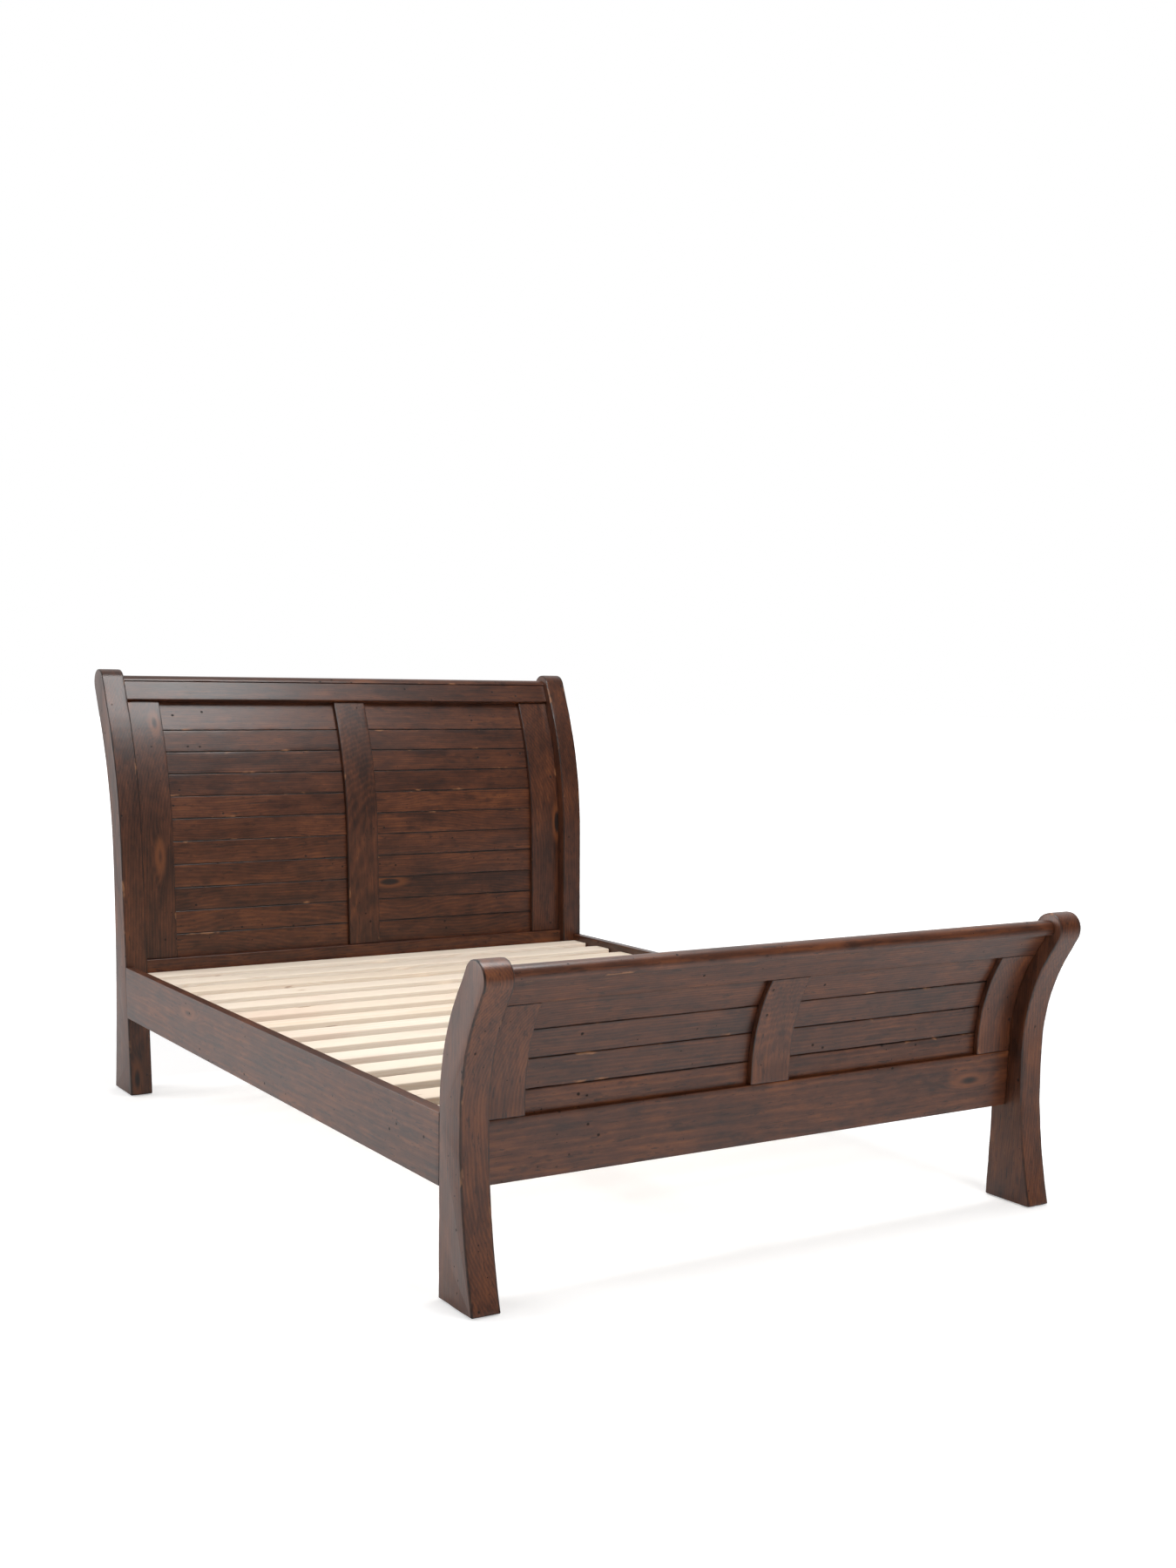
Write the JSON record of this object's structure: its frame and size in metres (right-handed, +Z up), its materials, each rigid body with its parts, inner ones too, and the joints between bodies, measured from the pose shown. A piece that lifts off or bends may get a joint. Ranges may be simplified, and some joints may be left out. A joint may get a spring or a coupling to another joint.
{
  "type": "sleigh bed",
  "caption": "Wooden sleigh bed frame: tall curved boarded headboard, low curved footboard, scroll-topped posts, side rails, slatted base and a levelling centre leg.",
  "frame": {"origin": "on the floor, at the middle of the overall length and width", "axes": "+Y along the bed towards the headboard, +Z up, +X to the right seen from the foot"},
  "size_m": [1.664, 2.4249, 1.304],
  "materials": {
    "stained_pine": "dark walnut stain under satin lacquer, distressed",
    "slat_pine": "planed, bare",
    "zinc_steel": "zinc plated",
    "nylon": "moulded",
    "beech_dowel": "fluted, bare"
  },
  "bodies": {
    "bed_frame": {"beam_hangers": "zinc_steel", "bed_bolts": "zinc_steel", "centre_beam": "slat_pine", "centre_leg": "slat_pine", "corner_brackets": "zinc_steel", "foot_board_01": "stained_pine", "foot_board_02": "stained_pine", "foot_board_03": "stained_pine", "foot_board_04": "stained_pine", "foot_bottom_rail": "stained_pine", "foot_cap": "stained_pine", "foot_mullion": "stained_pine", "foot_post_left": "stained_pine", "foot_post_right": "stained_pine", "foot_stile_left": "stained_pine", "foot_stile_right": "stained_pine", "foot_top_rail": "stained_pine", "head_board_01": "stained_pine", "head_board_02": "stained_pine", "head_board_03": "stained_pine", "head_board_04": "stained_pine", "head_board_05": "stained_pine", "head_board_06": "stained_pine", "head_board_07": "stained_pine", "head_board_08": "stained_pine", "head_board_09": "stained_pine", "head_board_10": "stained_pine", "head_board_11": "stained_pine", "head_bottom_rail": "stained_pine", "head_cap": "stained_pine", "head_mullion": "stained_pine", "head_post_left": "stained_pine", "head_post_right": "stained_pine", "head_stile_left": "stained_pine", "head_stile_right": "stained_pine", "head_top_rail": "stained_pine", "post_glides": "nylon", "rail_dowels": "beech_dowel", "side_rail_left": "stained_pine", "side_rail_right": "stained_pine", "slat_01": "slat_pine", "slat_02": "slat_pine", "slat_03": "slat_pine", "slat_04": "slat_pine", "slat_05": "slat_pine", "slat_06": "slat_pine", "slat_07": "slat_pine", "slat_08": "slat_pine", "slat_09": "slat_pine", "slat_10": "slat_pine", "slat_11": "slat_pine", "slat_12": "slat_pine", "slat_13": "slat_pine", "slat_14": "slat_pine", "slat_ledger_left": "slat_pine", "slat_ledger_right": "slat_pine", "threaded_inserts": "zinc_steel", "wood_screws": "zinc_steel"},
    "foot_pad": {"levelling_pad": "nylon"},
    "foot_stem": {"levelling_stem": "zinc_steel"}
  },
  "joints": [
    {"name": "pad_lift", "type": "slide", "parent": "bed_frame", "child": "foot_pad", "axis": [0, 0, 1], "range_m": [-0.01, 0.01]},
    {"name": "stem_turn", "type": "hinge", "parent": "foot_pad", "child": "foot_stem", "pos_m": [0, 0, 0.03], "axis": [0, 0, 1], "range_deg": [-2870, 2870]}
  ],
  "couplings": [
    {"joint": "pad_lift", "follows": "stem_turn", "m_per_rad": 0.00019894}
  ]
}
